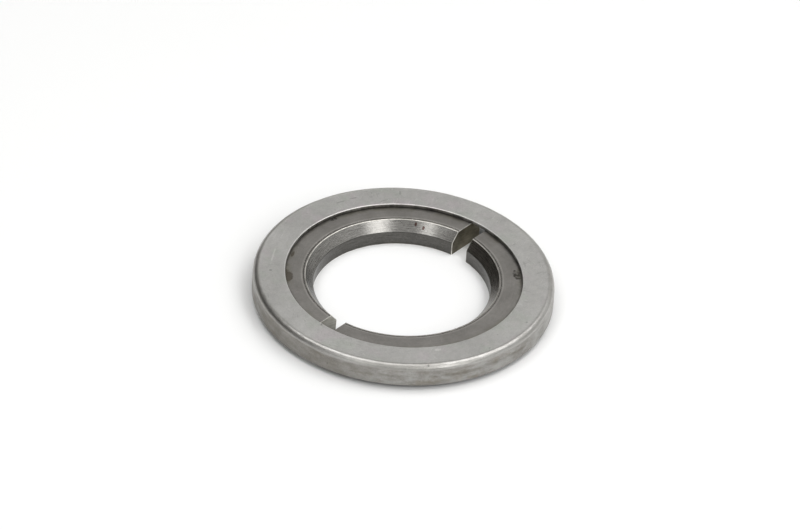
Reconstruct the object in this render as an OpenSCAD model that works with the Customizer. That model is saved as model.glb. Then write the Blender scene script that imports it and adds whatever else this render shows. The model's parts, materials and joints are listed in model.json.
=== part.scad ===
// Split ring seat: two machined half rings held under the lip of a pressed sheet-steel cap.
// The origin is on the cap's axis, at the plane that the half rings stand on. +Z is up, out through the
// lip's hole. The ring is split across X: the rear half lies at +Y and the front half at -Y.

/* [Retaining cap] */
// Outer diameter of the cap's wall
cap_d = 100; // [96:0.5:120]
// Height of the cap from its rim to the top of its lip
cap_h = 7.7; // [7:0.1:9]
// Thickness of the sheet that the cap is pressed from
sheet_t = 1.2; // [0.8:0.1:1.6]
// Outside radius of the corner between the wall and the lip
corner_r = 2.1; // [1.8:0.1:3]
// Diameter of the hole that the lip leaves open
lip_hole_d = 78.5; // [72:0.5:82]

/* [Half rings] */
// Outer diameter of the ring before it is sawn in two
ring_d = 88.3; // [84:0.1:90]
// Bore of the ring, which is the diameter of the shaft it closes on
bore_d = 59.6; // [50:0.1:62]
// Thickness of the half rings
ring_t = 8.2; // [6:0.1:10]
// Width of the chamfer at the top of the bore, measured along the radius
chamfer_w = 2.85; // [0.5:0.05:4]
// Depth of that chamfer, measured along the axis
chamfer_h = 3.4; // [0.5:0.1:4]
// Edge break on the other edges of the half rings
edge_break = 0.3; // [0.1:0.1:0.5]

/* [Split] */
// Distance from each sawn end face to the plane through its own half ring's axis
end_setback = 3.6; // [2.5:0.1:6]
// How far the front half lies in from its place round a shaft, towards the rear half
front_shift = 1.4; // [0:0.1:3]
// How far the front half lies to the +X side of the rear half, within its play under the cap
front_side = 0.35; // [0:0.05:1]

/* [Assembly] */
// Gap between the half rings' top faces and the underside of the lip
seat_gap = 0.05; // [0.02:0.01:0.2]

/* [Hidden] */
$fn = 96;
cap_r = cap_d / 2;
ring_r = ring_d / 2;
bore_r = bore_d / 2;
lip_hole_r = lip_hole_d / 2;
lip_z = ring_t + seat_gap;
rim_z = lip_z + sheet_t - cap_h;
past = 1;

// Half section of a solid disc whose upper outer corner is rounded, with its axis at x = 0
module round_shouldered_section(radius, height, shoulder) {
    square([radius - shoulder, height]);
    square([radius, height - shoulder]);
    translate([radius - shoulder, height - shoulder]) circle(shoulder);
}

// The cap: a wall, a rounded corner and a flat lip of one sheet thickness, open underneath
module retaining_cap() {
    color("lightsteelblue")
        translate([0, 0, rim_z])
            rotate_extrude()
                difference() {
                    round_shouldered_section(cap_r, cap_h, corner_r);
                    translate([0, -past])
                        round_shouldered_section(cap_r - sheet_t, cap_h - sheet_t + past, corner_r - sheet_t);
                    square([lip_hole_r, cap_h + past]);
                }
}

// Section of the ring: a rectangle with a deep chamfer at the top of the bore
module ring_section() {
    polygon([
        [bore_r + edge_break, 0],
        [ring_r - edge_break, 0],
        [ring_r, edge_break],
        [ring_r, ring_t - edge_break],
        [ring_r - edge_break, ring_t],
        [bore_r + chamfer_w, ring_t],
        [bore_r, ring_t - chamfer_h],
        [bore_r, edge_break],
    ]);
}

// The half of the ring at +Y, with its sawn ends set back from the plane through the axis
module half_ring() {
    intersection() {
        rotate_extrude() ring_section();
        translate([-cap_r, end_setback, -past]) cube([cap_d, cap_r, ring_t + 2 * past]);
    }
}

module rear_half_ring() {
    color("dimgray") half_ring();
}

module front_half_ring() {
    color("gray") translate([front_side, front_shift, 0]) mirror([0, 1, 0]) half_ring();
}

retaining_cap();
rear_half_ring();
front_half_ring();
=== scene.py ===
"""Looks of the split thrust ring: a pressed steel cap over two turned half rings."""
import json
import math

import bpy
import numpy as np
from mathutils import Matrix, Vector


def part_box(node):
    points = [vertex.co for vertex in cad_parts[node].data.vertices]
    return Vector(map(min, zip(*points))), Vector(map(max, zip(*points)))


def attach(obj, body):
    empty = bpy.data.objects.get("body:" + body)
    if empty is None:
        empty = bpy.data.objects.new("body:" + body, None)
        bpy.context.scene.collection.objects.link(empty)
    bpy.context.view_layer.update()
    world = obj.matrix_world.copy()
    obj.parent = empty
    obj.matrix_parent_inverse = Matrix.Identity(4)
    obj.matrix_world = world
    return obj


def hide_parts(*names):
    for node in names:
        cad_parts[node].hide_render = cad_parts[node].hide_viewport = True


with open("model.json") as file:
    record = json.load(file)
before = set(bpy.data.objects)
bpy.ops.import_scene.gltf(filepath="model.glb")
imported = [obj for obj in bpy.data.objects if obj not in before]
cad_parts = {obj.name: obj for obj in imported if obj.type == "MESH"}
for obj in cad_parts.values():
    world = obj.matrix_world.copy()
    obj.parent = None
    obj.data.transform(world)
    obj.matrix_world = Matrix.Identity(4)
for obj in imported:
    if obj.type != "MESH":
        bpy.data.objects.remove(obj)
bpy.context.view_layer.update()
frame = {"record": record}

# Sizes, in metres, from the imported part
MM = 0.001
mounts = {m["name"]: m for m in frame["record"]["mounts"]}
cap_low, cap_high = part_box("retaining_cap")
rear_low, rear_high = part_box("rear_half_ring")
front_low, front_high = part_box("front_half_ring")
CAP_R = mounts["cap_wall"]["dims"]["r_mm"] * MM
RIM_Z = cap_low[2]
TOP_Z = cap_high[2]
CORNER_R = (TOP_Z - RIM_Z) - mounts["cap_wall"]["dims"]["length_mm"] * MM
SHEET = mounts["lip_hole"]["dims"]["length_mm"] * MM
LIP_HOLE_R = mounts["lip_hole"]["dims"]["r_mm"] * MM
BORE_R = mounts["shaft_seat"]["dims"]["r_mm"] * MM
RING_R = rear_high[1]
RING_T = rear_high[2]
END_SETBACK = rear_low[1]
FRONT_CENTRE = (front_low[0] + front_high[0]) / 2, RING_R + front_low[1]
REAR_CENTRE = 0.0, 0.0
EDGE_BREAK = 0.3 * MM
CHAMFER_W = 2.85 * MM
CHAMFER_H = RING_T - EDGE_BREAK - mounts["shaft_seat"]["dims"]["length_mm"] * MM
GROOVE_R = BORE_R + CHAMFER_W + 0.6 * MM
GROOVE_HALF = 0.2 * MM
GROOVE_DEPTH = 0.08 * MM

# The camera, whose azimuth is measured from +X
CAMERA_AZIMUTH = math.radians(-142.3)
CAMERA_ELEVATION = math.radians(36.7)
CAMERA_ROLL = math.radians(4.39)
CAMERA_DISTANCE = 3.0
CAMERA_LENS_MM = 408.0
SENSOR_MM = 36.0
AIM_RIGHT = -0.86 * MM
AIM_UP = 9.585 * MM

# The lamps: azimuth and elevation in degrees, width and height in metres, and radiance
SOFTBOX_DISTANCE = 0.9
SOFTBOXES = {
    "softbox_right": (38, 40, 0.3, 0.45, 3.7),
    "softbox_left": (-27, 40, 0.16, 0.4, 3.3),
    "softbox_top": (180, 86, 0.9, 0.6, 1.05),
    "softbox_top_left": (-105, 66, 0.3, 0.5, 1.9),
    "softbox_top_right": (112, 60, 0.55, 0.5, 2.0),
}


# ---------------------------------------------------------------- camera, lights and stage

def bearing(azimuth, elevation):
    """The unit vector at an azimuth from +X and an elevation above the horizon."""
    return Vector((math.cos(azimuth) * math.cos(elevation),
                   math.sin(azimuth) * math.cos(elevation),
                   math.sin(elevation)))


def add_camera():
    """A long lens on the cap's centre, rolled a little, at the height and side of a product picture."""
    back = bearing(CAMERA_AZIMUTH, CAMERA_ELEVATION)
    level_right = Vector((-math.sin(CAMERA_AZIMUTH), math.cos(CAMERA_AZIMUTH), 0))
    level_up = back.cross(level_right)
    right = level_right * math.cos(CAMERA_ROLL) + level_up * math.sin(CAMERA_ROLL)
    up = level_up * math.cos(CAMERA_ROLL) - level_right * math.sin(CAMERA_ROLL)
    data = bpy.data.cameras.new("camera")
    data.lens = CAMERA_LENS_MM
    data.sensor_width = SENSOR_MM
    data.clip_start = 0.1
    data.clip_end = 20.0
    camera = bpy.data.objects.new("camera", data)
    bpy.context.scene.collection.objects.link(camera)
    turn = Matrix((right, up, back)).transposed().to_4x4()
    place = Vector((0, 0, RIM_Z)) + back * CAMERA_DISTANCE + right * AIM_RIGHT + up * AIM_UP
    camera.matrix_world = Matrix.Translation(place) @ turn
    bpy.context.scene.camera = camera


def add_softbox(name, azimuth_deg, elevation_deg, width, height, radiance):
    """A rectangular white lamp facing the part, its azimuth counted from the camera's, to the right."""
    data = bpy.data.lights.new(name, "AREA")
    data.shape = "RECTANGLE"
    data.size = width
    data.size_y = height
    data.energy = radiance * math.pi * width * height
    lamp = bpy.data.objects.new(name, data)
    lamp.visible_camera = False
    way = bearing(CAMERA_AZIMUTH + math.radians(azimuth_deg), math.radians(elevation_deg))
    lamp.location = way * SOFTBOX_DISTANCE
    lamp.rotation_mode = "QUATERNION"
    lamp.rotation_quaternion = way.to_track_quat("Z", "Y")
    bpy.context.scene.collection.objects.link(lamp)


def add_world():
    """A pale room, dark on the part's left, for reflections. The camera sees a plain backdrop instead."""
    pale = (0.62, 0.62, 0.61, 1)
    dark = (0.08, 0.078, 0.074, 1)
    backdrop_white = (0.98, 0.98, 0.98, 1)
    dark_way = bearing(CAMERA_AZIMUTH - math.radians(108), math.radians(14))
    dark_reach = math.radians(62)
    dark_core = math.radians(30)
    world = bpy.data.worlds.new("studio")
    world.use_nodes = True
    nodes, links = world.node_tree.nodes, world.node_tree.links
    nodes.clear()
    way = nodes.new("ShaderNodeTexCoord")
    dot = nodes.new("ShaderNodeVectorMath")
    dot.operation = "DOT_PRODUCT"
    dot.inputs[1].default_value = dark_way
    fade = nodes.new("ShaderNodeMapRange")
    fade.interpolation_type = "SMOOTHSTEP"
    fade.inputs["From Min"].default_value = math.cos(dark_reach)
    fade.inputs["From Max"].default_value = math.cos(dark_core)
    walls = nodes.new("ShaderNodeMix")
    walls.data_type = "RGBA"
    walls.inputs["A"].default_value = pale
    walls.inputs["B"].default_value = dark
    room = nodes.new("ShaderNodeBackground")
    backdrop = nodes.new("ShaderNodeBackground")
    backdrop.inputs["Color"].default_value = backdrop_white
    path = nodes.new("ShaderNodeLightPath")
    mix = nodes.new("ShaderNodeMixShader")
    out = nodes.new("ShaderNodeOutputWorld")
    links.new(way.outputs["Generated"], dot.inputs[0])
    links.new(dot.outputs["Value"], fade.inputs["Value"])
    links.new(fade.outputs[0], walls.inputs["Factor"])
    links.new(walls.outputs["Result"], room.inputs["Color"])
    links.new(path.outputs["Is Camera Ray"], mix.inputs[0])
    links.new(room.outputs[0], mix.inputs[1])
    links.new(backdrop.outputs[0], mix.inputs[2])
    links.new(mix.outputs[0], out.inputs["Surface"])
    bpy.context.scene.world = world


def add_floor():
    """A large sheet of matt white paper that the part stands on."""
    reach = 3.0
    mesh = bpy.data.meshes.new("floor")
    corners = [(-reach, -reach, 0), (reach, -reach, 0), (reach, reach, 0), (-reach, reach, 0)]
    mesh.from_pydata(corners, [], [(0, 1, 2, 3)])
    floor = bpy.data.objects.new("floor", mesh)
    bpy.context.scene.collection.objects.link(floor)
    paper = bpy.data.materials.new("floor_paper")
    paper.use_nodes = True
    shader = paper.node_tree.nodes["Principled BSDF"]
    shader.inputs["Base Color"].default_value = (0.93, 0.93, 0.93, 1)
    shader.inputs["Roughness"].default_value = 0.9
    shader.inputs["Specular IOR Level"].default_value = 0.1
    mesh.materials.append(paper)


# ---------------------------------------------------------------- node helpers

class Nodes:
    """Short calls for building a material's nodes."""

    def __init__(self, name):
        self.material = bpy.data.materials.new(name)
        self.material.use_nodes = True
        self.tree = self.material.node_tree
        self.shader = self.tree.nodes["Principled BSDF"]
        self.object = self.add("ShaderNodeTexCoord").outputs["Object"]

    def add(self, kind, **settings):
        node = self.tree.nodes.new(kind)
        for key, value in settings.items():
            setattr(node, key, value)
        return node

    def join(self, source, socket):
        """Links a node's output to a socket, or sets the socket to a plain value."""
        if isinstance(source, bpy.types.NodeSocket):
            self.tree.links.new(source, socket)
        else:
            socket.default_value = source

    def math(self, operation, a, b=0.0):
        node = self.add("ShaderNodeMath", operation=operation)
        self.join(a, node.inputs[0])
        self.join(b, node.inputs[1])
        return node.outputs[0]

    def plus(self, a, b):
        return self.math("ADD", a, b)

    def minus(self, a, b):
        return self.math("SUBTRACT", a, b)

    def times(self, a, b):
        return self.math("MULTIPLY", a, b)

    def either(self, a, b):
        """The larger of two masks."""
        return self.math("MAXIMUM", a, b)

    def ramp(self, value, low, high, out_low=0.0, out_high=1.0, smooth=True):
        """Maps value from low..high to out_low..out_high, held at the ends."""
        kind = "SMOOTHSTEP" if smooth else "LINEAR"
        node = self.add("ShaderNodeMapRange", interpolation_type=kind)
        self.join(value, node.inputs["Value"])
        ends = {"From Min": low, "From Max": high, "To Min": out_low, "To Max": out_high}
        for name, number in ends.items():
            self.join(number, node.inputs[name])
        return node.outputs[0]

    def mix(self, factor, a, b):
        """A colour between a and b."""
        node = self.add("ShaderNodeMix", data_type="RGBA")
        self.join(factor, node.inputs["Factor"])
        for source, socket in ((a, node.inputs["A"]), (b, node.inputs["B"])):
            self.join(source if isinstance(source, bpy.types.NodeSocket) else (*source, 1), socket)
        return node.outputs["Result"]

    def blend(self, factor, a, b):
        """A number between a and b."""
        return self.ramp(factor, 0.0, 1.0, a, b, smooth=False)

    def vector(self, x, y, z):
        node = self.add("ShaderNodeCombineXYZ")
        for source, socket in zip((x, y, z), node.inputs):
            self.join(source, socket)
        return node.outputs[0]

    def noise(self, vector, scale, detail=3.0, roughness=0.5, w=None):
        """Noise from 0 to 1, mostly near 0.5. Its scale is in blobs to each unit of the vector."""
        node = self.add("ShaderNodeTexNoise", noise_dimensions="3D" if w is None else "4D")
        self.join(vector, node.inputs["Vector"])
        if w is not None:
            self.join(w, node.inputs["W"])
        node.inputs["Scale"].default_value = scale
        node.inputs["Detail"].default_value = detail
        node.inputs["Roughness"].default_value = roughness
        return node.outputs["Fac"]

    def bump(self, height, distance, normal=None):
        """A normal tilted as if a height of 1 stood out by the distance."""
        node = self.add("ShaderNodeBump")
        node.inputs["Strength"].default_value = 1.0
        node.inputs["Distance"].default_value = distance
        self.join(height, node.inputs["Height"])
        if normal is not None:
            self.join(normal, node.inputs["Normal"])
        return node.outputs[0]

    def round_the_axis(self, centre=(0.0, 0.0)):
        """Radius, the unit direction's x and y, and height, all about a vertical axis through centre."""
        parts = self.add("ShaderNodeSeparateXYZ")
        self.join(self.object, parts.inputs[0])
        z = parts.outputs[2]
        x = self.minus(parts.outputs[0], centre[0])
        y = self.minus(parts.outputs[1], centre[1])
        radius = self.math("SQRT", self.plus(self.times(x, x), self.times(y, y)))
        return radius, self.math("DIVIDE", x, radius), self.math("DIVIDE", y, radius), z

    def scaled(self, colour, factor):
        """A colour times a number."""
        node = self.add("ShaderNodeVectorMath", operation="SCALE")
        self.join(colour, node.inputs[0])
        self.join(factor, node.inputs["Scale"])
        return node.outputs[0]

    def stretched(self, turn_deg, length, width, detail, w):
        """Noise whose blobs are about length by width, lying along a direction in the XY plane."""
        turned = self.add("ShaderNodeMapping")
        self.join(self.object, turned.inputs["Vector"])
        turned.inputs["Rotation"].default_value = (0, 0, -math.radians(turn_deg))
        drawn_out = self.add("ShaderNodeVectorMath", operation="MULTIPLY")
        self.join(turned.outputs[0], drawn_out.inputs[0])
        drawn_out.inputs[1].default_value = (1 / length, 1 / width, 1 / width)
        return self.noise(drawn_out.outputs[0], 1.0, detail, 0.5, w)

    def scratches(self, turns_deg, length, width):
        """1 on short thin scratches along each of the directions, in patches, and 0 elsewhere."""
        total = 0.0
        for k, turn in enumerate(turns_deg):
            line = self.ramp(self.stretched(turn, length, width, 1.0, 7.0 * k), 0.66, 0.72)
            patch = self.ramp(self.noise(self.object, 45, 2, 0.5, 3.0 + 5.0 * k), 0.5, 0.62)
            total = self.either(total, self.times(line, patch))
        return total

    def specks(self, spacing, size, share):
        """1 inside small round specks, one to a cell of the given spacing in a share of the cells."""
        cells = self.add("ShaderNodeTexVoronoi")
        self.join(self.object, cells.inputs["Vector"])
        cells.inputs["Scale"].default_value = 1 / spacing
        reach = size / spacing
        inside = self.ramp(cells.outputs["Distance"], reach * 1.3, reach * 0.6)
        parts = self.add("ShaderNodeSeparateXYZ")
        self.join(cells.outputs["Color"], parts.inputs[0])
        return self.times(inside, self.math("LESS_THAN", parts.outputs[0], share))

    def stains(self, places):
        """1 inside ragged oval stains, each (azimuth in degrees, radius, size across, size along)."""
        total = 0.0
        ragged = self.ramp(self.noise(self.object, 700, 3, 0.6), 0.3, 0.7, -0.3, 0.3, smooth=False)
        for azimuth, radius, across, along in places:
            c, s = math.cos(math.radians(azimuth)), math.sin(math.radians(azimuth))
            sides = []
            for way, away, size in (((c, s, 0), radius, across), ((-s, c, 0), 0.0, along)):
                dot = self.add("ShaderNodeVectorMath", operation="DOT_PRODUCT")
                self.join(self.object, dot.inputs[0])
                dot.inputs[1].default_value = way
                side = self.math("DIVIDE", self.minus(dot.outputs["Value"], away), size / 2)
                sides.append(self.times(side, side))
            reach = self.plus(self.math("SQRT", self.plus(*sides)), ragged)
            total = self.either(total, self.ramp(reach, 1.15, 0.8))
        return total

    def sector(self, ux, uy, azimuth_deg, reach_deg, core_deg):
        """1 within core_deg of an azimuth about the axis, falling to 0 at reach_deg from it."""
        way = bearing(math.radians(azimuth_deg), 0)
        cosine = self.plus(self.times(ux, way.x), self.times(uy, way.y))
        return self.ramp(cosine, math.cos(math.radians(reach_deg)), math.cos(math.radians(core_deg)))

    def near(self, value, centre, half_width):
        """1 where value is at the centre, falling to 0 at half_width from it."""
        return self.ramp(self.math("ABSOLUTE", self.minus(value, centre)), half_width, 0.0)


def steel(nodes, colour, roughness, normal, anisotropy=0.0, tangent=None):
    """Sets the shader to bare metal with a colour, a roughness, a normal and a grain that nodes give."""
    shader = nodes.shader
    shader.inputs["Metallic"].default_value = 1.0
    nodes.join(colour, shader.inputs["Base Color"])
    nodes.join(roughness, shader.inputs["Roughness"])
    nodes.join(normal, shader.inputs["Normal"])
    if anisotropy:
        shader.inputs["Anisotropic"].default_value = anisotropy
        nodes.join(tangent, shader.inputs["Tangent"])
    return nodes.material


# ---------------------------------------------------------------- materials

# Marks: azimuth in degrees and radius in metres, then the sizes across and along the ring
LIP_DARK_MARKS = [
    (69, 0.0443, 0.0006, 0.0032),
    (62.5, 0.0447, 0.0005, 0.0026),
    (42, 0.0457, 0.0028, 0.0005),
    (131.5, 0.0441, 0.0009, 0.0009),
    (-103, 0.0469, 0.0007, 0.0009),
    (-79, 0.0463, 0.0008, 0.0008),
]
LIP_PALE_MARKS = [(120.5, 0.044, 0.0006, 0.008), (-124, 0.0414, 0.0012, 0.002)]
REAR_STAINS = [(133.4, 0.0383, 0.0031, 0.0062), (115, 0.0382, 0.0009, 0.003)]
REAR_SMUDGES = [(77.6, 0.0384, 0.0012, 0.0025)]
FRONT_SMUDGES = [(-43, 0.0378, 0.0026, 0.0052)]
RUST_SPOTS = [(28, 0.0312, 0.0009, 0.001), (33, 0.0318, 0.0008, 0.0008)]

# Sectors: azimuth, then the reach and the core to either side of it, in degrees
# The cap's corner is darker in these two sectors
DARKER_CORNER_FRONT = -139, 20, 8
DARKER_CORNER_REAR = 146, 38, 10
BROWNED_WALL = 175, 45, 0
# Painted shade over the rear chamfer near one end, dimming a reflection there
SHADED_CHAMFER_END = 153, 30, 14

# Turned steels: the colour in the grooves, the colour on the crests, and how deep the marks are
REAR_CHAMFER = (0.2, 0.194, 0.183), (0.36, 0.351, 0.334), 0.01 * MM
# The front chamfer is darker and browner than the rear one: partly its own colour, partly painted shade, as
# it faces away into the rings
FRONT_CHAMFER = (0.155, 0.143, 0.127), (0.21, 0.197, 0.177), 0.004 * MM
BORE = (0.079, 0.076, 0.071), (0.141, 0.137, 0.128), 0.008 * MM


def cap_outer_steel():
    """The cap's outside: a satin lip, a burnished corner, and a wall blotched and browned by handling."""
    n = Nodes("cap_outer_steel")
    radius, ux, uy, z = n.round_the_axis()
    wall_top = TOP_Z - CORNER_R
    lip_edge = CAP_R - CORNER_R
    off_wall = n.ramp(z, wall_top - 0.1 * MM, wall_top + 0.9 * MM)
    off_lip = n.ramp(radius, lip_edge - 0.3 * MM, lip_edge + 0.5 * MM)

    cloud = n.noise(n.object, 55, 4, 0.6)
    pink = n.noise(n.object, 140, 3, 0.5, 2.0)
    green = n.noise(n.object, 140, 3, 0.5, 9.0)
    fine = n.noise(n.object, 420, 4, 0.65)
    grain = n.noise(n.object, 2200, 2, 0.6)
    pale_lines = n.scratches((20, 75, -50), 5 * MM, 0.32 * MM)
    dark_lines = n.scratches((-15, 48, 110), 4 * MM, 0.32 * MM)
    pits = n.either(n.specks(8 * MM, 0.4 * MM, 0.2), n.specks(3.1 * MM, 0.2 * MM, 0.2))

    lip = n.mix(n.ramp(cloud, 0.3, 0.7), (0.472, 0.464, 0.45), (0.538, 0.53, 0.515))
    lip = n.mix(n.ramp(pink, 0.5, 0.68, 0, 0.6), lip, (0.535, 0.495, 0.505))
    lip = n.mix(n.ramp(green, 0.5, 0.68, 0, 0.6), lip, (0.475, 0.492, 0.452))

    streak = n.noise(n.vector(ux, uy, n.times(z, 420)), 5, 4, 0.6)
    corner = n.mix(n.ramp(streak, 0.35, 0.65), (0.4, 0.39, 0.37), (0.5, 0.492, 0.475))
    # The corner is darker in two sectors, which dims its highlight there
    darker_corner = n.either(n.sector(ux, uy, *DARKER_CORNER_FRONT), n.sector(ux, uy, *DARKER_CORNER_REAR))
    corner = n.mix(n.times(darker_corner, 0.4), corner, (0.27, 0.26, 0.24))

    low = n.vector(n.times(ux, 2.6), n.times(uy, 2.6), n.times(z, 130))
    blotch = n.noise(low, 3.2, 5, 0.65)
    brown = n.noise(low, 2.1, 4, 0.6, 4.0)
    wall = n.mix(n.ramp(blotch, 0.36, 0.64), (0.28, 0.27, 0.251), (0.362, 0.356, 0.342))
    wall = n.mix(n.ramp(brown, 0.52, 0.68, 0, 0.6), wall, (0.21, 0.187, 0.152))
    # A darker band, where the brown noise allows, runs round the wall about 3.5 mm above the rim
    band = n.times(n.near(z, RIM_Z + 3.5 * MM, 1.1 * MM), n.ramp(brown, 0.42, 0.6))
    wall = n.mix(n.times(band, 0.5), wall, (0.17, 0.156, 0.136))
    wall = n.mix(n.times(n.sector(ux, uy, *BROWNED_WALL), 0.45), wall, (0.17, 0.155, 0.132))

    colour = n.mix(off_wall, wall, n.mix(off_lip, lip, corner))
    tone = n.plus(n.ramp(fine, 0.3, 0.7, 0.95, 1.05), n.ramp(grain, 0.3, 0.7, -0.05, 0.05))
    tone = n.plus(tone, n.times(n.either(pale_lines, n.stains(LIP_PALE_MARKS)), 0.2))
    # Painted highlight, with some wear, in a thin bright line along the lip hole's edge
    tone = n.plus(tone, n.times(n.near(radius, LIP_HOLE_R + 0.25 * MM, 0.3 * MM), 0.25))
    tone = n.minus(tone, n.times(n.either(dark_lines, n.stains(LIP_DARK_MARKS)), 0.28))
    tone = n.times(tone, n.minus(1.0, n.times(pits, 0.45)))

    lip_rough = n.ramp(cloud, 0.3, 0.7, 0.4, 0.45)
    corner_rough = n.ramp(streak, 0.35, 0.65, 0.43, 0.35)
    wall_rough = n.ramp(blotch, 0.36, 0.64, 0.48, 0.4)
    rough = n.blend(off_wall, wall_rough, n.blend(off_lip, lip_rough, corner_rough))

    normal = n.bump(n.minus(grain, n.times(pits, 1.5)), 0.008 * MM)
    normal = n.bump(fine, 0.03 * MM, normal)
    normal = n.bump(n.times(n.plus(streak, blotch), off_lip), 0.04 * MM, normal)
    normal = n.bump(n.times(n.noise(n.object, 520, 4, 0.65, 6.0), off_lip), 0.12 * MM, normal)
    return steel(n, n.scaled(colour, tone), rough, normal)


def cap_inner_steel():
    """The inside of the cap: darker and rougher, untouched since it was pressed, with painted shade under
    the lip and below the ring's top face.
    """
    n = Nodes("cap_inner_steel")
    cloud = n.noise(n.object, 80, 4, 0.6)
    grain = n.noise(n.object, 2000, 3, 0.6)
    radius, ux, uy, z = n.round_the_axis()
    colour = n.mix(n.ramp(cloud, 0.3, 0.7), (0.2, 0.19, 0.175), (0.34, 0.335, 0.32))
    pitted = n.minus(1.0, n.times(n.specks(3 * MM, 0.3 * MM, 0.4), 0.5))
    torn = n.ramp(n.noise(n.vector(ux, uy, 0.0), 12, 4, 0.6), 0.35, 0.65, 0.5, 1.1)
    sheared_and_shaded = n.blend(n.ramp(radius, LIP_HOLE_R + 0.15 * MM, LIP_HOLE_R + 0.6 * MM), torn, 1.0)
    # Painted shade: darker under the lip and below the ring's top face, where the lip sits on the ring
    sheared_and_shaded = n.times(sheared_and_shaded, n.ramp(z, RING_T, RING_T + 0.4 * MM, 0.4, 1.0))
    colour = n.scaled(colour, n.times(pitted, sheared_and_shaded))
    return steel(n, colour, n.ramp(grain, 0.3, 0.7, 0.42, 0.6), n.bump(grain, 0.01 * MM))


def ring_face_steel(name, centre, stains, smudges):
    """The flat faces: dull and grey-brown, with fine turning marks and stains, a painted shadow of the
    cap's lip with dirt along its edge, painted shade with dirt in the witness groove, and a painted
    highlight beside the groove.
    """
    n = Nodes(name)
    from_cap_axis = n.round_the_axis()[0]
    radius, ux, uy = n.round_the_axis(centre)[:3]
    cloud = n.noise(n.object, 110, 4, 0.6)
    turning = n.noise(n.vector(ux, uy, 0.0), 3.0, 2, 0.5, n.times(radius, 1500))
    fine = n.noise(n.object, 600, 3, 0.65)
    grain = n.noise(n.object, 3000, 2, 0.6)
    olive = n.noise(n.object, 160, 3, 0.6, 5.0)
    colour = n.mix(n.ramp(cloud, 0.3, 0.7), (0.24, 0.229, 0.215), (0.275, 0.263, 0.248))
    by_lip = n.ramp(from_cap_axis, LIP_HOLE_R - 3 * MM, LIP_HOLE_R)
    rubbed = n.times(n.ramp(olive, 0.42, 0.6), by_lip)
    colour = n.mix(n.times(rubbed, 0.6), colour, (0.185, 0.175, 0.135))
    # Painted shadow of the cap's lip, with dirt, in a ragged band along the lip's edge
    lip_shadow_and_dirt_reach = n.plus(from_cap_axis, n.ramp(n.noise(n.object, 320, 3, 0.6), 0.3, 0.7, -0.35 * MM, 0.35 * MM))
    colour = n.mix(n.times(n.near(lip_shadow_and_dirt_reach, LIP_HOLE_R, 1.2 * MM), 0.5), colour, (0.06, 0.055, 0.048))
    colour = n.mix(n.times(n.stains(stains), 0.75), colour, (0.09, 0.075, 0.058))
    broken = n.ramp(n.noise(n.object, 1300, 3, 0.6), 0.4, 0.54, 0.3, 0.9)
    colour = n.mix(n.times(n.stains(smudges), broken), colour, (0.05, 0.045, 0.04))
    # Painted shade, with dirt, darkening the witness groove
    colour = n.mix(n.times(n.near(radius, GROOVE_R, GROOVE_HALF * 2.0), 0.95), colour, (0.04, 0.036, 0.032))
    lines = n.scratches((35, -35, 62), 4 * MM, 0.16 * MM)
    tone = n.plus(n.ramp(fine, 0.3, 0.7, 0.95, 1.05), n.ramp(turning, 0.35, 0.65, -0.04, 0.04))
    tone = n.plus(tone, n.ramp(grain, 0.3, 0.7, -0.04, 0.04))
    tone = n.plus(tone, n.times(lines, 0.25))
    # Painted highlight: a faint light line just outside the witness groove
    tone = n.plus(tone, n.times(n.near(radius, GROOVE_R + 0.6 * MM, 0.45 * MM), 0.3))
    tone = n.times(tone, n.minus(1.0, n.times(n.specks(5 * MM, 0.25 * MM, 0.35), 0.4)))
    rough = n.ramp(cloud, 0.3, 0.7, 0.4, 0.48)
    normal = n.bump(n.plus(turning, grain), 0.005 * MM)
    normal = n.bump(fine, 0.02 * MM, normal)
    return steel(n, n.scaled(colour, tone), rough, normal)


def ring_turned_steel(name, centre, dark, light, relief, spots=(), end_shade=0.0):
    """The bore or its chamfer: lathe marks, dark in their grooves, with rust spots and painted shade over
    one end.
    """
    n = Nodes(name)
    radius, ux, uy, z = n.round_the_axis(centre)
    along = n.plus(radius, z)
    coarse = n.noise(n.vector(ux, uy, 0.0), 6.0, 3, 0.6, n.times(along, 1300))
    fine = n.noise(n.vector(ux, uy, 0.0), 26.0, 3, 0.6, n.times(along, 4000))
    lines = n.plus(coarse, n.times(fine, 0.7))
    cloud = n.noise(n.object, 190, 4, 0.65)
    mottle = n.noise(n.object, 1300, 3, 0.65)
    colour = n.mix(n.ramp(lines, 0.68, 1.02), dark, light)
    colour = n.mix(n.ramp(cloud, 0.5, 0.72, 0, 0.45), colour, dark)
    # Painted shade over the chamfer near one end, dimming a reflection there
    if end_shade:
        shaded_end = n.times(n.sector(ux, uy, *SHADED_CHAMFER_END), end_shade)
        colour = n.mix(shaded_end, colour, (0.05, 0.047, 0.042))
    if spots:
        colour = n.mix(n.times(n.stains(spots), 0.85), colour, (0.07, 0.03, 0.025))
    tone = n.plus(n.ramp(mottle, 0.3, 0.7, 0.9, 1.1), n.times(n.specks(2.6 * MM, 0.2 * MM, 0.3), -0.4))
    rough = n.ramp(lines, 0.65, 1.05, 0.23, 0.35)
    return steel(n, n.scaled(colour, tone), rough, n.bump(lines, relief), 0.75, n.vector(0.0, 0.0, 1.0))


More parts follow.
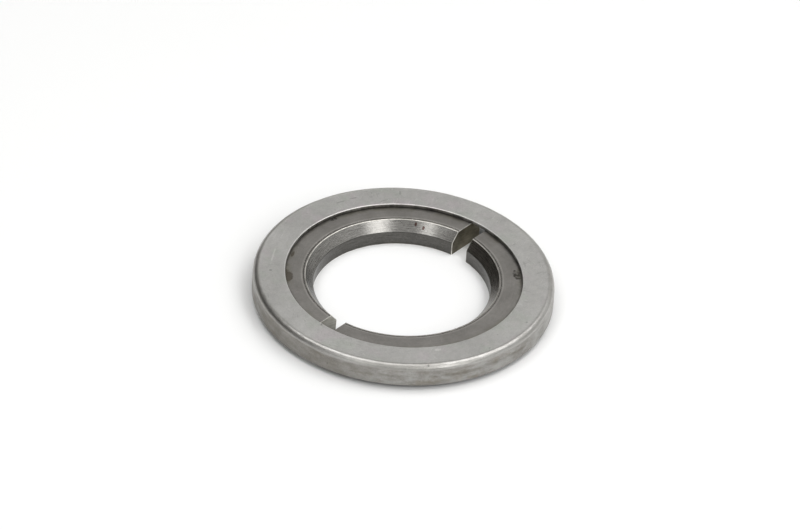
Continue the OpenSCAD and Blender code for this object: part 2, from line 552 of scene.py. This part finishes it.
def ring_sawn_steel():
    """The sawn end faces: grey at -X, darker towards the bottom, and oily olive-brown at +X with painted
    light brightening it outwards, with faint straight saw marks.
    """
    n = Nodes("ring_sawn_steel")
    parts = n.add("ShaderNodeSeparateXYZ")
    n.join(n.object, parts.inputs[0])
    x, z = parts.outputs[0], parts.outputs[2]
    slant = n.plus(z, n.times(x, 0.25))
    marks = n.noise(n.vector(n.times(x, 90), 0.0, n.times(slant, 2400)), 1.0, 3, 0.6)
    cloud = n.noise(n.object, 240, 4, 0.65)
    clean = n.mix(n.ramp(cloud, 0.3, 0.7), (0.33, 0.322, 0.288), (0.43, 0.423, 0.385))
    # Darker towards the bottom, lighter towards the top
    clean = n.scaled(clean, n.ramp(z, 0.0, RING_T, 0.6, 1.15))
    oily_and_painted_light = n.mix(n.ramp(cloud, 0.3, 0.7), (0.17, 0.155, 0.115), (0.3, 0.28, 0.22))
    # Painted light: the oily face brightens towards the outside, where the lip shades it
    oily_and_painted_light = n.scaled(oily_and_painted_light, n.ramp(x, BORE_R, LIP_HOLE_R, 0.6, 1.5))
    colour = n.mix(n.ramp(x, 18 * MM, 28 * MM), clean, oily_and_painted_light)
    colour = n.scaled(colour, n.ramp(marks, 0.3, 0.7, 0.9, 1.08))
    return steel(n, colour, n.ramp(marks, 0.3, 0.7, 0.6, 0.5), n.bump(marks, 0.008 * MM))


def ring_edge_steel():
    """The broken edges, rubbed bright and brighter still as a painted highlight."""
    n = Nodes("ring_edge_steel")
    wear_and_highlight = n.noise(n.object, 420, 4, 0.65)
    colour = n.mix(n.ramp(wear_and_highlight, 0.32, 0.55), (0.4, 0.385, 0.35), (0.75, 0.73, 0.68))
    return steel(n, colour, n.ramp(wear_and_highlight, 0.35, 0.65, 0.42, 0.5), n.bump(wear_and_highlight, 0.02 * MM))


# ---------------------------------------------------------------- meshes

def arc(centre, radius, start_deg, end_deg, steps):
    """Points of a section's arc, both ends included."""
    turns = np.radians(np.linspace(start_deg, end_deg, steps + 1))
    return [(centre[0] + radius * math.cos(t), centre[1] + radius * math.sin(t)) for t in turns]


def filled(points, longest):
    """A closed section with points added so that no side is longer than longest."""
    out = []
    for (r0, z0), (r1, z1) in zip(points, points[1:] + points[:1]):
        steps = max(1, math.ceil(math.hypot(r1 - r0, z1 - z0) / longest))
        out += [(r0 + (r1 - r0) * k / steps, z0 + (z1 - z0) * k / steps) for k in range(steps)]
    return out


def ripple(angles, waves, seed):
    """A smooth closed wave round the circle between 0 and 1, a sum of the given numbers of waves."""
    rng = np.random.default_rng(seed)
    total = sum(np.sin(w * angles + rng.uniform(0, 2 * math.pi)) / len(waves) for w in waves)
    return 0.5 + 0.5 * total


def link_piece(name, verts, faces, materials, slots):
    """A smooth-shaded mesh object in the scene, with the material slot of each face."""
    mesh = bpy.data.meshes.new(name)
    mesh.from_pydata([tuple(v) for v in verts], [], faces)
    for material in materials:
        mesh.materials.append(material)
    mesh.polygons.foreach_set("material_index", slots)
    mesh.polygons.foreach_set("use_smooth", [True] * len(faces))
    mesh.update()
    piece = bpy.data.objects.new(name, mesh)
    bpy.context.scene.collection.objects.link(piece)
    return piece


def cap_section():
    """The cap's closed section, anticlockwise from the outside of the rim, with its sheared edges eased."""
    ease = 0.14 * MM
    rollover = 0.4 * MM
    inner_r = CAP_R - SHEET
    inner_corner = CORNER_R - SHEET
    under_z = TOP_Z - SHEET
    points = arc((CAP_R - ease, RIM_Z + ease), ease, -90, 0, 4)
    points += arc((CAP_R - CORNER_R, TOP_Z - CORNER_R), CORNER_R, 0, 90, 20)
    points += arc((LIP_HOLE_R + rollover, TOP_Z - rollover), rollover, 90, 180, 8)
    points += arc((LIP_HOLE_R + ease, under_z + ease), ease, 180, 270, 4)
    points += arc((inner_r - inner_corner, under_z - inner_corner), inner_corner, 90, 0, 8)
    points += arc((inner_r + ease, RIM_Z + ease), ease, 180, 270, 4)
    return filled(points, 0.6 * MM)


def make_cap():
    """The cap as one skin, its wall and lip a few hundredths of a millimetre out of true."""
    segments = 640
    out_of_round = 0.05 * MM
    out_of_flat = 0.03 * MM
    section = np.array(cap_section())
    angles = np.arange(segments) * 2 * math.pi / segments
    sink = out_of_round * ripple(angles, (2, 3, 7, 13, 22), 3)
    drop = out_of_flat * ripple(angles, (2, 5, 9, 17), 8)
    radius = section[None, :, 0] - sink[:, None]
    height = section[None, :, 1] - drop[:, None] * (section[None, :, 1] - RIM_Z) / (TOP_Z - RIM_Z)
    verts = np.stack([radius * np.cos(angles)[:, None], radius * np.sin(angles)[:, None], height], -1)
    count = len(section)
    faces, slots = [], []
    outside, inside = 0, 1
    corner_r, corner_z = CAP_R - CORNER_R, TOP_Z - CORNER_R
    outer_half = CORNER_R - SHEET * 0.6
    for j in range(segments):
        here, there = j * count, (j + 1) % segments * count
        for i in range(count):
            k = (i + 1) % count
            faces.append((here + i, there + i, there + k, here + k))
            mid_r, mid_z = (section[i] + section[k]) / 2
            on_top = mid_z > TOP_Z - SHEET * 0.1
            from_corner = math.hypot(mid_r - corner_r, max(mid_z - corner_z, 0))
            on_side = mid_r > corner_r and from_corner > outer_half
            slots.append(outside if on_top or on_side else inside)
    materials = [cap_outer_steel(), cap_inner_steel()]
    piece = link_piece("cap_shell", verts.reshape(-1, 3), faces, materials, slots)
    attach(piece, "cap")
    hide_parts("retaining_cap")


def ring_section():
    """The ring's closed section, anticlockwise from the foot of the bore, with its witness groove."""
    support = 0.06 * MM
    return [
        (BORE_R, 0),
        (RING_R, 0),
        (RING_R, RING_T),
        (GROOVE_R + GROOVE_HALF + support, RING_T),
        (GROOVE_R + GROOVE_HALF, RING_T),
        (GROOVE_R, RING_T - GROOVE_DEPTH),
        (GROOVE_R - GROOVE_HALF, RING_T),
        (BORE_R + CHAMFER_W, RING_T),
        (BORE_R, RING_T - CHAMFER_H),
    ]


def half_ring_skin(name):
    """The half ring at +Y: the section swept between two flat end faces, every sharp edge rounded over."""
    segments = 320
    edge_radius = 0.18 * MM
    least_turn = math.radians(28)
    section = ring_section()
    verts, faces = [], []
    for j in range(segments + 1):
        for r, z in section:
            start = math.asin(END_SETBACK / r)
            turn = start + (math.pi - 2 * start) * j / segments
            verts.append((r * math.cos(turn), r * math.sin(turn), z))
    count = len(section)
    for j in range(segments):
        for i in range(count):
            k = (i + 1) % count
            a, b = j * count, (j + 1) * count
            faces.append((a + i, b + i, b + k, a + k))
    faces.append(tuple(range(count)))
    faces.append(tuple(segments * count + i for i in reversed(range(count))))
    piece = link_piece(name, verts, faces, [], [0] * len(faces))
    bevel = piece.modifiers.new("edges", "BEVEL")
    bevel.width = edge_radius
    bevel.segments = 3
    bevel.limit_method = "ANGLE"
    bevel.angle_limit = least_turn
    bevel.harden_normals = True
    bevel.use_clamp_overlap = False
    bevel.material = -1
    shaped = bpy.data.meshes.new_from_object(piece.evaluated_get(bpy.context.evaluated_depsgraph_get()))
    shaped.name = name
    piece.modifiers.clear()
    piece.data = shaped
    return piece


def ring_face_kind(centre, normal):
    """Which finish a half ring's face has: 0 flat, 1 chamfer, 2 bore, 3 sawn, 4 rounded edge."""
    flat, chamfer, bore, sawn, edge = range(5)
    outward = Vector((centre.x, centre.y, 0)).normalized()
    across = normal.dot(outward)
    chamfer_slope = math.atan2(CHAMFER_W, CHAMFER_H)
    square_on, level, slack = 0.995, 0.94, 0.03
    if normal.y < -square_on and abs(centre.y - END_SETBACK) < 0.01 * MM:
        return sawn
    if abs(normal.z) > level or across > square_on:
        return flat
    if abs(across + math.cos(chamfer_slope)) < slack and abs(normal.z - math.sin(chamfer_slope)) < slack:
        return chamfer
    round_way = Vector((-outward.y, outward.x, 0))
    at_chamfer_foot = abs(centre.z - (RING_T - CHAMFER_H)) < 0.5 * MM
    if across < -square_on or (at_chamfer_foot and across < -0.5 and abs(normal.dot(round_way)) < 0.1):
        return bore
    return edge


def make_half_ring(name, node, body, materials, front):
    """A half ring with a finish for each kind of face, turned round and shifted if it is the front one."""
    piece = half_ring_skin(name)
    mesh = piece.data
    kinds = [ring_face_kind(p.center, p.normal) for p in mesh.polygons]
    mesh.materials.clear()
    for material in materials:
        mesh.materials.append(material)
    mesh.polygons.foreach_set("material_index", kinds)
    if front:
        mesh.transform(Matrix.Translation((*FRONT_CENTRE, 0)) @ Matrix.Rotation(math.pi, 4, "Z"))
    mesh.update()
    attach(piece, body)
    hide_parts(node)


# ---------------------------------------------------------------- the scene

add_camera()
for softbox, settings in SOFTBOXES.items():
    add_softbox(softbox, *settings)
add_world()
add_floor()
bpy.context.scene.view_settings.view_transform = "Standard"

make_cap()
sawn = ring_sawn_steel()
edges = ring_edge_steel()
rear_steels = [
    ring_face_steel("rear_face_steel", REAR_CENTRE, REAR_STAINS, REAR_SMUDGES),
    # 0.75 is the strength of the painted shade on the chamfer's end
    ring_turned_steel("rear_chamfer_steel", REAR_CENTRE, *REAR_CHAMFER, RUST_SPOTS, 0.75),
    ring_turned_steel("rear_bore_steel", REAR_CENTRE, *BORE),
    sawn,
    edges,
]
make_half_ring("rear_half", "rear_half_ring", "rear_half", rear_steels, False)
front_steels = [
    ring_face_steel("front_face_steel", FRONT_CENTRE, [], FRONT_SMUDGES),
    ring_turned_steel("front_chamfer_steel", FRONT_CENTRE, *FRONT_CHAMFER),
    ring_turned_steel("front_bore_steel", FRONT_CENTRE, *BORE),
    sawn,
    edges,
]
make_half_ring("front_half", "front_half_ring", "front_half", front_steels, True)
